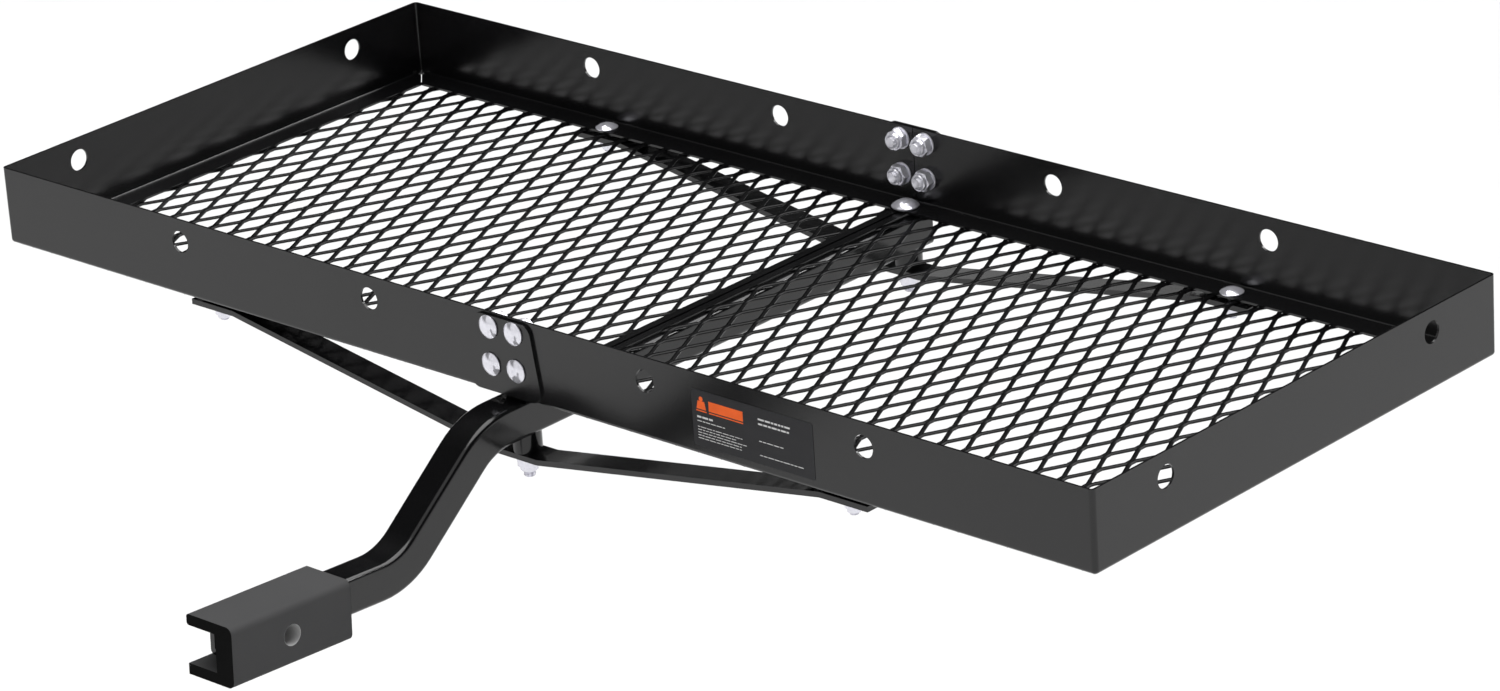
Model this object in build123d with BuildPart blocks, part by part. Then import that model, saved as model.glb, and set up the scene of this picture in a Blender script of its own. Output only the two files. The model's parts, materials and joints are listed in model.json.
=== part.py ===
from build123d import *
from math import asin, cos, radians, sin, tan
import os

os.makedirs("parts", exist_ok=True)

# Hitch cargo carrier: two bolted half trays on a dropped hitch shank, held up by
# two bent flat braces, with a lift-off sleeve that makes the shank fit a larger
# receiver.  Millimetres.  The origin is the middle of the hitch-pin bore, on the
# axis of the shank.  +X runs along the tray, +Y from the hitch towards the back
# of the tray and +Z up.

# ---------------------------------------------------------------- driving sizes
tray_length = 1219.2            # both halves bolted together, over the end walls
tray_width = 508.0              # over the long walls
wall_height = 69.85             # flange underside to the top edge of the walls
sheet = 2.0                     # wall and flange sheet
flange_width = 25.4             # in from the outer face of the wall
corner_radius = 4.0             # outside, at the upright corners
bend_radius = 3.5               # outside, between wall and flange
seam_gap = 0.8                  # between the two half trays
mitre_gap = 0.8                 # slit between two flanges at a corner
relief_radius = 3.0             # hole at the inner end of each mitre
relief_inset = 6.0              # its centre, in from both outer faces

tie_hole = 19.5                 # tie-down holes in the walls
tie_height = 49.4               # their centres above the flange underside
tie_inner_spacing = 310.4       # inner pair on a long wall
tie_outer_spacing = 767.8       # outer pair on a long wall
tie_end_spacing = 336.0         # pair on an end wall

mesh_thickness = 3.0            # expanded metal, under the flanges
mesh_short_pitch = 24.3         # diamond, short way, along X
mesh_long_pitch = 54.0          # diamond, long way, along Y
mesh_phase = 7.0                # first opening's centre, behind the tray's middle
strand_width = 3.6
mesh_edge_inset = 6.35          # mesh edge, in from the outer face of the wall
mesh_border = 7.0               # closed edge strip, hidden below the flange
seam_bar_width = 8.0            # flat bar along the inner edge of each half
seam_bar_gap = 2.4              # between the two bars

shank_size = 31.75              # square tube
shank_wall = 4.76
shank_corner = 4.0              # outside corner radius
shank_bend = 66.0               # bend radius of the tube's axis
shank_slope = 38.0              # degrees, run between the two bends
shank_tilt = 3.4                # degrees, how far the hitch end tips up
bend_setback = 39.1             # first bend's corner, in front of the tray
nose_length = 40.0              # pin bore to the hitch end of the tube
tray_setback = 286.7            # pin bore to the front wall, along Y
tray_rise = 91.5                # pin bore to the flange underside
pin_hole = 17.5                 # clears a 5/8 in hitch pin

adapter_size = 50.8             # outside of the sleeve, square
adapter_length = 127.0
adapter_fit = 0.3               # gap between sleeve and tube
adapter_corner = 6.0            # at the closed side
adapter_tip_corner = 2.5        # at the open side

plate_top_width = 62.0
plate_bottom_width = 82.0
plate_height = 66.7
plate_thickness = 2.5
plate_corner = 10.0
front_plate_lift = 1.3          # lower edges above the flange underside
rear_plate_lift = 3.6
splice_column_spacing = 27.8
splice_row_spacing = 32.5
splice_low_row = 25.6           # lower row above the flange underside

brace_length = 762.0
brace_width = 25.4
brace_thickness = 4.76
brace_end_flat = 50.0           # straight end under the flange
brace_middle_flat = 44.0        # straight middle under the spacer
brace_bend = 14.0               # bend radius on the bar's middle line
brace_bolt_spacing = 711.2
flange_bolt_inset = 16.5        # bolt line, in from the outer face of the wall
spacer_diameter = 25.4
spacer_wall = 3.2
spacer_height = 18.3

splice_bolt = 10.0              # thread diameters
centre_bolt = 10.0
brace_bolt = 8.0
splice_head = (20.0, 5.2)       # head diameter and height
centre_head = (24.6, 7.0)
brace_head = (20.7, 4.8)
splice_nut = (17.0, 7.6, 3.6)   # across flats, hex height, collar height
centre_nut = (17.0, 7.6, 3.6)
brace_nut = (13.0, 5.8, 2.8)
splice_washer = (20.0, 1.8)     # outside diameter and thickness
centre_washer = (21.0, 1.8)
brace_washer = (17.0, 1.6)
splice_tail = 2.2               # thread left past the nut
centre_tail = 5.5
brace_tail = 2.0

label_length = 127.0
label_height = 48.0
label_thickness = 0.25
label_left = 205.5              # left edge from the seam
label_lift = 8.0                # lower edge above the flange underside
label_corner = 2.0

# ------------------------------------------------------------------- clearances
bolt_clearance = 0.5            # round hole larger than the thread
neck_clearance = 0.3            # square hole larger than the neck
thread_clearance = 0.1          # nut bore larger than the thread
washer_clearance = 0.8          # washer bore larger than the thread
mesh_clearance = 1.5            # mesh cut back round a bolt's neck

# --------------------------------------------------------------- derived places
front_face = tray_setback
back_face = tray_setback + tray_width
middle_y = (front_face + back_face) / 2
deck_low = tray_rise - mesh_thickness
flange_top = tray_rise + sheet
wall_top = tray_rise + wall_height
tie_z = tray_rise + tie_height

front_bolt_y = front_face + flange_bolt_inset
back_bolt_y = back_face - flange_bolt_inset
brace_bolt_xs = (-brace_bolt_spacing / 2, brace_bolt_spacing / 2)

shank_axis_z = deck_low - shank_size / 2
shank_bottom = deck_low - shank_size
bend_one_y = front_face - bend_setback
bend_two_y = (bend_one_y * tan(radians(shank_slope)) - shank_axis_z) / (
    tan(radians(shank_slope)) + tan(radians(shank_tilt))
)
bend_two_z = -bend_two_y * tan(radians(shank_tilt))
nose_y = -nose_length * cos(radians(shank_tilt))
nose_z = nose_length * sin(radians(shank_tilt))

brace_middle_top = shank_bottom - spacer_height
brace_end_axis = deck_low - brace_thickness / 2
brace_middle_axis = brace_middle_top - brace_thickness / 2
brace_middle_low = brace_middle_top - brace_thickness
brace_end_low = deck_low - brace_thickness

splice_rows = (
    tray_rise + splice_low_row,
    tray_rise + splice_low_row + splice_row_spacing,
)
splice_columns = (-splice_column_spacing / 2, splice_column_spacing / 2)

# the hitch end's own plane: its normal runs along the tube, towards the hitch
hitch_plane = Plane(
    origin=(0, 0, 0),
    x_dir=(1, 0, 0),
    z_dir=(0, -cos(radians(shank_tilt)), sin(radians(shank_tilt))),
)


def save(part, name):
    part.label = name
    export_step(part, f"parts/{name}.step")


# ------------------------------------------------------------------- half trays
def folded_tray():
    """The whole tray rim folded from sheet, still in one piece at the seam."""
    with BuildPart() as rim:
        with BuildSketch(Plane.XY.offset(tray_rise)) as footprint:
            with Locations((0, middle_y)):
                RectangleRounded(tray_length, tray_width, corner_radius)
        extrude(amount=wall_height)
        fillet(rim.faces().sort_by(Axis.Z)[0].edges(), bend_radius)
        offset(amount=-sheet, openings=rim.faces().sort_by(Axis.Z)[-1])
        with BuildSketch(Plane.XY.offset(tray_rise)) as floor_opening:
            with Locations((0, middle_y)):
                Rectangle(tray_length - 2 * flange_width, tray_width - 2 * flange_width)
        extrude(amount=2 * sheet, mode=Mode.SUBTRACT)
        # mitred flanges: a slit from the opening's corner to a round relief hole
        corner_x = tray_length / 2 - relief_inset
        corner_y = tray_width / 2 - relief_inset
        slit_run = flange_width - relief_inset
        with BuildSketch(Plane.XY.offset(tray_rise)) as mitres:
            for side_x in (-1, 1):
                for side_y in (-1, 1):
                    with Locations((side_x * corner_x, middle_y + side_y * corner_y)):
                        Circle(relief_radius)
                    slit_x = side_x * (corner_x - slit_run / 2)
                    slit_y = middle_y + side_y * (corner_y - slit_run / 2)
                    with Locations(Location((slit_x, slit_y, 0), (0, 0, 45 * side_x * side_y))):
                        Rectangle(slit_run * 2 ** 0.5 + mitre_gap, mitre_gap)
        extrude(amount=2 * sheet, mode=Mode.SUBTRACT)
        # tie-down holes
        with BuildSketch(Plane.XZ) as long_wall_holes:
            for spacing in (tie_inner_spacing, tie_outer_spacing):
                with Locations((-spacing / 2, tie_z), (spacing / 2, tie_z)):
                    Circle(tie_hole / 2)
        extrude(amount=-back_face - sheet, mode=Mode.SUBTRACT)
        with BuildSketch(Plane.YZ) as end_wall_holes:
            half_spacing = tie_end_spacing / 2
            with Locations((middle_y - half_spacing, tie_z), (middle_y + half_spacing, tie_z)):
                Circle(tie_hole / 2)
        extrude(amount=tray_length, both=True, mode=Mode.SUBTRACT)
        # round holes for the splice bolts
        with BuildSketch(Plane.XZ) as splice_holes:
            for row in splice_rows:
                with Locations((splice_columns[0], row), (splice_columns[1], row)):
                    Circle((splice_bolt + bolt_clearance) / 2)
        extrude(amount=-back_face - sheet, mode=Mode.SUBTRACT)
        # square holes for the bolt necks in the flanges
        with BuildSketch(Plane.XY.offset(tray_rise)) as neck_holes:
            for bolt_y in (front_bolt_y, back_bolt_y):
                with Locations((brace_bolt_xs[0], bolt_y), (brace_bolt_xs[1], bolt_y)):
                    Rectangle(brace_bolt + neck_clearance, brace_bolt + neck_clearance)
                with Locations((0, bolt_y)):
                    Rectangle(centre_bolt + neck_clearance, centre_bolt + neck_clearance)
        extrude(amount=2 * sheet, mode=Mode.SUBTRACT)
    return rim.part


whole_rim = folded_tray()
with BuildPart() as left_tray_rim:
    add(whole_rim)
    split(bisect_by=Plane.YZ.offset(-seam_gap / 2), keep=Keep.BOTTOM)
with BuildPart() as right_tray_rim:
    add(whole_rim)
    split(bisect_by=Plane.YZ.offset(seam_gap / 2), keep=Keep.TOP)
save(left_tray_rim.part, "left_tray_rim")
save(right_tray_rim.part, "right_tray_rim")


# ------------------------------------------------------------------ mesh floors
mesh_inner = seam_bar_gap / 2 + seam_bar_width
mesh_outer = tray_length / 2 - mesh_edge_inset
mesh_run = mesh_outer - mesh_inner
mesh_depth = tray_width - 2 * mesh_edge_inset
opening_half_x = (mesh_short_pitch - strand_width) / 2
opening_half_y = opening_half_x * mesh_long_pitch / mesh_short_pitch
opening_low_x = mesh_inner + strand_width / 2
opening_high_x = mesh_outer - mesh_border
opening_low_y = front_face + mesh_edge_inset + mesh_border
opening_high_y = back_face - mesh_edge_inset - mesh_border


def clipped(points, axis, limit, side):
    """The part of a convex outline on the near side of a line; side 1 keeps below."""
    kept = []
    for start, end in zip(points, points[1:] + points[:1]):
        start_over = side * (start[axis] - limit)
        end_over = side * (end[axis] - limit)
        if start_over <= 0:
            kept.append(start)
        if start_over * end_over < 0:
            share = start_over / (start_over - end_over)
            kept.append(tuple(a + share * (b - a) for a, b in zip(start, end)))
    return kept


def opening(x, y):
    """One diamond opening, clipped to the mesh's closed edge strip."""
    points = [
        (x + opening_half_x, y),
        (x, y + opening_half_y),
        (x - opening_half_x, y),
        (x, y - opening_half_y),
    ]
    points = clipped(points, 0, opening_low_x, -1)
    points = clipped(points, 0, opening_high_x, 1)
    points = clipped(points, 1, opening_low_y, -1)
    return clipped(points, 1, opening_high_y, 1)


def wide_enough(points):
    """True where the clipped opening is more than a sliver."""
    if len(points) < 3:
        return False
    spans = [max(p[axis] for p in points) - min(p[axis] for p in points) for axis in (0, 1)]
    return min(spans) > strand_width


def mesh_floor(side):
    """Expanded metal with staggered diamond openings; side is -1 or 1."""
    columns = int(2 * mesh_outer / mesh_short_pitch) + 1
    rows = int(mesh_depth / mesh_long_pitch) + 2
    outlines = []
    for column in range(columns):
        x = (column + 1) * mesh_short_pitch / 2
        stagger = 0.5 * ((column + (side < 0)) % 2)
        for row in range(-rows, rows):
            y = middle_y + mesh_phase + (row + stagger) * mesh_long_pitch
            points = opening(x, y)
            if wide_enough(points):
                outlines.append([(side * px, py, deck_low) for px, py in points])
    corners = [
        (side * mesh_inner, middle_y - mesh_depth / 2, deck_low),
        (side * mesh_outer, middle_y - mesh_depth / 2, deck_low),
        (side * mesh_outer, middle_y + mesh_depth / 2, deck_low),
        (side * mesh_inner, middle_y + mesh_depth / 2, deck_low),
    ]
    sheet_face = Face(
        Wire.make_polygon(corners),
        [Wire.make_polygon(outline) for outline in outlines],
    )
    with BuildPart() as floor:
        extrude(sheet_face, amount=mesh_thickness, dir=(0, 0, 1))
        with BuildSketch(Plane.XY.offset(deck_low)):
            for bolt_y in (front_bolt_y, back_bolt_y):
                with Locations((side * brace_bolt_spacing / 2, bolt_y)):
                    Circle(brace_bolt * 2 ** 0.5 / 2 + mesh_clearance)
        extrude(amount=mesh_thickness, mode=Mode.SUBTRACT)
    return floor.part


save(mesh_floor(-1), "left_mesh_deck")
save(mesh_floor(1), "right_mesh_deck")


def seam_bar(side):
    """Flat bar that closes the mesh's edge beside the seam."""
    with BuildPart() as bar:
        with BuildSketch(Plane.XY.offset(deck_low)) as outline:
            with Locations((side * (seam_bar_gap / 2 + seam_bar_width / 2), middle_y)):
                Rectangle(seam_bar_width, mesh_depth)
            with Locations((0, front_bolt_y), (0, back_bolt_y)):
                Rectangle(
                    centre_bolt + neck_clearance,
                    centre_bolt + neck_clearance,
                    mode=Mode.SUBTRACT,
                )
        extrude(amount=mesh_thickness)
    return bar.part


save(seam_bar(-1), "left_seam_bar")
save(seam_bar(1), "right_seam_bar")


# ---------------------------------------------------------------- splice plates
def splice_plate(plane, lift):
    """Tapered plate over the seam; plane lies on the wall, normal outwards."""
    plate_low = tray_rise + lift
    with BuildPart() as plate:
        with BuildSketch(plane) as outline:
            with BuildLine():
                Polyline(
                    (-plate_bottom_width / 2, plate_low),
                    (plate_bottom_width / 2, plate_low),
                    (plate_top_width / 2, plate_low + plate_height),
                    (-plate_top_width / 2, plate_low + plate_height),
                    close=True,
                )
            make_face()
            fillet(outline.vertices(), plate_corner)
            for row in splice_rows:
                with Locations((splice_columns[0], row), (splice_columns[1], row)):
                    Rectangle(
                        splice_bolt + neck_clearance,
                        splice_bolt + neck_clearance,
                        mode=Mode.SUBTRACT,
                    )
        extrude(amount=plate_thickness)
    return plate.part


front_wall_plane = Plane(origin=(0, front_face, 0), x_dir=(1, 0, 0), z_dir=(0, -1, 0))
back_wall_plane = Plane(origin=(0, back_face, 0), x_dir=(-1, 0, 0), z_dir=(0, 1, 0))
save(splice_plate(front_wall_plane, front_plate_lift), "front_splice_plate")
save(splice_plate(back_wall_plane, rear_plate_lift), "rear_splice_plate")


# ------------------------------------------------------------- shank and sleeve
with BuildPart() as shank_tube:
    with BuildLine(Plane.YZ) as shank_path:
        FilletPolyline(
            (back_face, shank_axis_z),
            (bend_one_y, shank_axis_z),
            (bend_two_y, bend_two_z),
            (nose_y, nose_z),
            radius=shank_bend,
        )
    with BuildSketch(Plane(shank_path.line @ 0, x_dir=(1, 0, 0), z_dir=shank_path.line % 0)):
        RectangleRounded(shank_size, shank_size, shank_corner)
        bore = shank_size - 2 * shank_wall
        RectangleRounded(bore, bore, max(shank_corner - shank_wall, 1.0), mode=Mode.SUBTRACT)
    sweep()
    # hitch-pin hole, across the tube
    with BuildSketch(Plane.YZ):
        Circle(pin_hole / 2)
    extrude(amount=shank_size, both=True, mode=Mode.SUBTRACT)
    # upright holes for the two centre bolts
    with BuildSketch(Plane.XY.offset(shank_axis_z)):
        with Locations((0, front_bolt_y), (0, back_bolt_y)):
            Circle((centre_bolt + bolt_clearance) / 2)
    extrude(amount=shank_size, both=True, mode=Mode.SUBTRACT)
    # clearance for the square necks, which reach below the flange
    with BuildSketch(Plane.XY.offset(deck_low)):
        with Locations((0, front_bolt_y), (0, back_bolt_y)):
            Rectangle(centre_bolt + neck_clearance, centre_bolt + neck_clearance)
    extrude(amount=-shank_wall / 2, mode=Mode.SUBTRACT)
save(shank_tube.part, "shank_tube")

with BuildPart() as hitch_adapter:
    channel_height = shank_size + 2 * adapter_fit
    channel_depth = shank_size + adapter_fit
    open_side = -shank_size / 2
    with BuildSketch(hitch_plane.offset(-adapter_length / 2)) as section:
        with Locations((open_side + adapter_size / 2, 0)):
            Rectangle(adapter_size, adapter_size)
        fillet(section.vertices().group_by(Axis.X)[-1], adapter_corner)
        with Locations((open_side + channel_depth / 2, 0)):
            Rectangle(channel_depth, channel_height, mode=Mode.SUBTRACT)
        tips = section.vertices().group_by(Axis.X)[0].sort_by(Axis.Z)
        fillet([tips[0], tips[-1]], adapter_tip_corner)
    extrude(amount=adapter_length)
    with BuildSketch(Plane.YZ):
        Circle(pin_hole / 2)
    extrude(amount=adapter_size, mode=Mode.SUBTRACT)
save(hitch_adapter.part, "hitch_adapter")


# ------------------------------------------------------------ braces and spacers
def brace(bolt_y):
    """Flat bar bent down to the spacer below the shank and back up."""
    end_x = brace_length / 2
    with BuildPart() as bar:
        with BuildLine(Plane.XZ.offset(-bolt_y)) as bar_path:
            FilletPolyline(
                (-end_x, brace_end_axis),
                (-end_x + brace_end_flat, brace_end_axis),
                (-brace_middle_flat / 2, brace_middle_axis),
                (brace_middle_flat / 2, brace_middle_axis),
                (end_x - brace_end_flat, brace_end_axis),
                (end_x, brace_end_axis),
                radius=brace_bend,
            )
        with BuildSketch(Plane(bar_path.line @ 0, x_dir=(0, 1, 0), z_dir=bar_path.line % 0)):
            Rectangle(brace_width, brace_thickness)
        sweep()
        with BuildSketch(Plane.XY.offset(deck_low)):
            with Locations((brace_bolt_xs[0], bolt_y), (brace_bolt_xs[1], bolt_y)):
                Circle((brace_bolt + bolt_clearance) / 2)
            with Locations((0, bolt_y)):
                Circle((centre_bolt + bolt_clearance) / 2)
        extrude(amount=-deck_low, mode=Mode.SUBTRACT)
    return bar.part


def spacer(bolt_y):
    """Short round tube between the shank and the brace."""
    with BuildPart() as tube:
        with BuildSketch(Plane.XY.offset(brace_middle_top)):
            with Locations((0, bolt_y)):
                Circle(spacer_diameter / 2)
                Circle(spacer_diameter / 2 - spacer_wall, mode=Mode.SUBTRACT)
        extrude(amount=spacer_height)
    return tube.part


save(brace(front_bolt_y), "front_brace")
save(brace(back_bolt_y), "rear_brace")
save(spacer(front_bolt_y), "front_brace_spacer")
save(spacer(back_bolt_y), "rear_brace_spacer")


# -------------------------------------------------------------------- fasteners
def carriage_bolt(thread, head, grip, neck_length):
    """Domed head above the local XY plane, square neck and thread below it."""
    head_radius = head[0] / 2
    rim_height = head[1] * 0.2
    dome_height = head[1] - rim_height
    dome_radius = (head_radius**2 + dome_height**2) / (2 * dome_height)
    half_angle = asin(head_radius / dome_radius) / 2
    dome_middle = (
        dome_radius * sin(half_angle),
        head[1] - dome_radius * (1 - cos(half_angle)),
    )
    with BuildPart() as bolt:
        with BuildSketch(Plane.XZ):
            with BuildLine():
                Polyline((0, head[1]), (0, 0), (head_radius, 0), (head_radius, rim_height))
                ThreePointArc((head_radius, rim_height), dome_middle, (0, head[1]))
            make_face()
        revolve(axis=Axis.Z)
        with BuildSketch(Plane.XY):
            Rectangle(thread, thread)
        extrude(amount=-neck_length)
        with BuildSketch(Plane.XY):
            Circle(thread / 2)
        extrude(amount=-grip)
        chamfer(bolt.faces().sort_by(Axis.Z)[0].edges(), thread * 0.08)
    return bolt.part


def lock_nut(thread, nut):
    """Hex nut with a plain collar, seated on the local XY plane."""
    flats, hex_height, collar_height = nut
    corner = flats / 3 ** 0.5
    ease = flats * 0.06
    with BuildPart() as body:
        with BuildSketch():
            RegularPolygon(flats / 2, 6, major_radius=False)
        extrude(amount=hex_height)
        with BuildSketch(Plane.XZ):
            with BuildLine():
                Polyline(
                    (0, 0),
                    (corner - ease, 0),
                    (corner, ease * 0.6),
                    (corner, hex_height - ease * 0.6),
                    (corner - ease, hex_height),
                    (0, hex_height),
                    close=True,
                )
            make_face()
        revolve(axis=Axis.Z, mode=Mode.INTERSECT)
        with BuildSketch(Plane.XY.offset(hex_height)):
            Circle(flats / 2 * 0.9)
        extrude(amount=collar_height)
        fillet(body.faces().sort_by(Axis.Z)[-1].edges(), collar_height * 0.45)
        with BuildSketch():
            Circle((thread + thread_clearance) / 2)
        extrude(amount=hex_height + collar_height, mode=Mode.SUBTRACT)
    return body.part


def washer(thread, size):
    """Flat washer standing on the local XY plane."""
    with BuildPart() as ring:
        with BuildSketch():
            Circle(size[0] / 2)
            Circle((thread + washer_clearance) / 2, mode=Mode.SUBTRACT)
        extrude(amount=size[1])
    return ring.part


def group(piece, places):
    """The same piece at each place, as separate solids."""
    with BuildPart() as copies:
        with Locations(*places):
            add(piece)
    return copies.part


def nut_stack(nut, washer_size):
    return nut[1] + nut[2] + washer_size[1]


splice_grip = plate_thickness + sheet + nut_stack(splice_nut, splice_washer) + splice_tail
splice_piece = carriage_bolt(splice_bolt, splice_head, splice_grip, plate_thickness)


def splice_places(y, turn):
    return [Location((x, y, z), (turn, 0, 0)) for x in splice_columns for z in splice_rows]


# local +Z points out of the tray for the heads and into it for washers and nuts
for end, face, outwards in (("front", front_face, -1), ("rear", back_face, 1)):
    head_turn = -90 * outwards
    head_y = face + outwards * plate_thickness
    inner_y = face - outwards * sheet
    nut_y = inner_y - outwards * splice_washer[1]
    save(group(splice_piece, splice_places(head_y, head_turn)), f"{end}_splice_bolts")
    save(
        group(washer(splice_bolt, splice_washer), splice_places(inner_y, -head_turn)),
        f"{end}_splice_washers",
    )
    save(
        group(lock_nut(splice_bolt, splice_nut), splice_places(nut_y, -head_turn)),
        f"{end}_splice_nuts",
    )

centre_grip = flange_top - brace_middle_low + nut_stack(centre_nut, centre_washer) + centre_tail
centre_neck = sheet + mesh_thickness + shank_wall / 2 - neck_clearance
brace_grip = flange_top - brace_end_low + nut_stack(brace_nut, brace_washer) + brace_tail
brace_neck = sheet + mesh_thickness - neck_clearance
centre_piece = carriage_bolt(centre_bolt, centre_head, centre_grip, centre_neck)
brace_piece = carriage_bolt(brace_bolt, brace_head, brace_grip, brace_neck)


def upright_places(xs, y, z, turn):
    return [Location((x, y, z), (turn, 0, 0)) for x in xs]


for end, bolt_y in (("front", front_bolt_y), ("rear", back_bolt_y)):
    save(group(centre_piece, upright_places((0,), bolt_y, flange_top, 0)), f"{end}_centre_bolt")
    save(
        group(
            washer(centre_bolt, centre_washer),
            upright_places((0,), bolt_y, brace_middle_low, 180),
        ),
        f"{end}_centre_washer",
    )
    save(
        group(
            lock_nut(centre_bolt, centre_nut),
            upright_places((0,), bolt_y, brace_middle_low - centre_washer[1], 180),
        ),
        f"{end}_centre_nut",
    )
    save(
        group(brace_piece, upright_places(brace_bolt_xs, bolt_y, flange_top, 0)),
        f"{end}_brace_bolts",
    )
    save(
        group(
            washer(brace_bolt, brace_washer),
            upright_places(brace_bolt_xs, bolt_y, brace_end_low, 180),
        ),
        f"{end}_brace_washers",
    )
    save(
        group(
            lock_nut(brace_bolt, brace_nut),
            upright_places(brace_bolt_xs, bolt_y, brace_end_low - brace_washer[1], 180),
        ),
        f"{end}_brace_nuts",
    )

# ------------------------------------------------------------------------ label
with BuildPart() as rating_label:
    with BuildSketch(front_wall_plane):
        with Locations((label_left + label_length / 2, tray_rise + label_lift + label_height / 2)):
            RectangleRounded(label_length, label_height, label_corner)
    extrude(amount=label_thickness)
save(rating_label.part, "rating_label")
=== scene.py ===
"""Hitch cargo carrier: paint, expanded mesh, hardware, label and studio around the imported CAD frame."""

import json
import math
import random

import bmesh
import bpy
from bpy.props import FloatProperty, FloatVectorProperty, IntProperty, PointerProperty
from mathutils import Matrix, Vector


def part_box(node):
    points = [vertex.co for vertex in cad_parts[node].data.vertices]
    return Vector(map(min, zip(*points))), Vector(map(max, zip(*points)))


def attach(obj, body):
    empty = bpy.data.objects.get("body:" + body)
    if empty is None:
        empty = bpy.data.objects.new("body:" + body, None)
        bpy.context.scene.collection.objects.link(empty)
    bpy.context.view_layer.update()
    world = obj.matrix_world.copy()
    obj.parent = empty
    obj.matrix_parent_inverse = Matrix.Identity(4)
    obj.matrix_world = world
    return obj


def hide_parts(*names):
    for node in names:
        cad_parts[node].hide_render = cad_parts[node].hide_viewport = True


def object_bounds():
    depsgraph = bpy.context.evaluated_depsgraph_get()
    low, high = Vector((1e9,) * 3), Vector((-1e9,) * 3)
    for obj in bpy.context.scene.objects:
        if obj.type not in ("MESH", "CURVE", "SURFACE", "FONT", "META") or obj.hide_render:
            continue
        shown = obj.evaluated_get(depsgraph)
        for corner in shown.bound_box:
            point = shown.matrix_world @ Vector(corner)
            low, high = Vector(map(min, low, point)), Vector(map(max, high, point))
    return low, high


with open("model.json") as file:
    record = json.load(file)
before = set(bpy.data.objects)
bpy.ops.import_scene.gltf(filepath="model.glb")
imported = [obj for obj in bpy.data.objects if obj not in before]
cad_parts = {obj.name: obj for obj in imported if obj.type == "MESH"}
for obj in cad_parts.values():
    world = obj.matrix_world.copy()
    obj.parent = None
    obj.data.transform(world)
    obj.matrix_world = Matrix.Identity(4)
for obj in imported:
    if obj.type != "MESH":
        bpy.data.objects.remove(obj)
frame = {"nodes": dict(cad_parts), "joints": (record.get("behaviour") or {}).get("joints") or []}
cad_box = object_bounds()

bl_info = {
    "name": "Hitch cargo carrier",
    "version": (1, 0, 0),
    "blender": (4, 5, 0),
    "location": "View3D > Sidebar > Carrier",
    "description": "Builds the finishes, mesh decks, fasteners, label and studio of a hitch cargo carrier",
    "category": "Object",
}

MM = 0.001
# one body of the frame carries everything but the sleeve
CARRIER = "carrier"
RIMS = ("left_tray_rim", "right_tray_rim")
SPLICE_PLATES = ("front_splice_plate", "rear_splice_plate")
SEAM_BARS = ("left_seam_bar", "right_seam_bar")
STEEL = ("shank_tube", "front_brace", "rear_brace", "front_brace_spacer", "rear_brace_spacer")
ENDS = ("front", "rear")

# finishes: the size of the slow cloud in a coat, and the fixed colours
COAT_CLOUD = 90 * MM
SLEEVE_CLOUD = 50 * MM
SLEEVE_GREYS = ((0.054, 0.054, 0.055, 1.0), (0.064, 0.064, 0.065, 1.0))
# painted shade: the near black given to the sleeve's end faces
END_SHADE_BLACK = (0.004, 0.004, 0.004, 1.0)
# painted light: the light grey given to the wall of the sleeve's pin hole
PAINTED_BORE_LIGHT = (0.42, 0.42, 0.42, 1.0)
NYLON_GREYS = ((0.42, 0.43, 0.47, 1.0), (0.6, 0.61, 0.66, 1.0))
FLOOR_GREYS = ((0.7, 0.7, 0.7, 1.0), (0.73, 0.73, 0.73, 1.0))
FILM_BLACK = (0.022, 0.022, 0.024, 1.0)
# a little over the pin hole's radius, inside which the hole's wall gets painted light, and how near its end a
# face of the sleeve gets painted shade
BORE_REACH = 8.85 * MM
END_SHADE_DEPTH = 0.15 * MM

# surround: brightness against a direction's height, and against its nearness to the card
SKY_STOPS = ((0.08, 1.0), (0.24, 0.01), (0.7, 0.01), (0.95, 0.25))
CARD_STOPS = ((0.7, 0.0), (0.8, 0.8))
CARD_DIRECTION = (0.05, -0.75, 0.66)
KEY_DIRECTION = (0.0, 0.3, 0.95)
# the strip light: its place off the carrier's middle in x and y, its height, and its two sides
STRIP_PLACE = (1.6, 3.0, 2.4)
STRIP_SIDES = (2.4, 0.35)
CAMERA_PLACE = (3.14995, -2.73341, 1.92610)
CAMERA_AXES = (
    (0.74009, 0.66962, -0.06220),
    (-0.21458, 0.32279, 0.92183),
    (0.63735, -0.66889, 0.38258),
)


# ---------------------------------------------------------------- settings


class CarrierStageSettings(bpy.types.PropertyGroup):
    """Floor, lights and camera"""

    floor_drop: FloatProperty(
        name="Floor drop",
        description="How far the floor lies under the lowest point of the carrier",
        default=2.4,
        min=0.0,
        subtype="DISTANCE",
        unit="LENGTH",
    )
    floor_size: FloatProperty(
        name="Floor size",
        description="Side of the square floor",
        default=60.0,
        subtype="DISTANCE",
        unit="LENGTH",
    )
    sky_strength: FloatProperty(
        name="Surround strength",
        description="Brightness of the whole surround that the pieces reflect",
        default=1.0,
        min=0.0,
    )
    key_strength: FloatProperty(
        name="Key strength",
        description="Strength of the wide soft light overhead, in watts per square metre",
        default=3.7,
        min=0.0,
    )
    key_spread: FloatProperty(
        name="Key spread",
        description="How wide the overhead light looks",
        default=math.radians(70),
        subtype="ANGLE",
        unit="ROTATION",
    )
    rim_power: FloatProperty(
        name="Rim light power",
        description="Power of the strip that draws bright lines along rounded edges, in watts",
        default=45.0,
        min=0.0,
    )
    lens: FloatProperty(
        name="Lens",
        description="Focal length on a 36 mm wide sensor",
        default=140.64,
        unit="CAMERA",
    )


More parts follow.
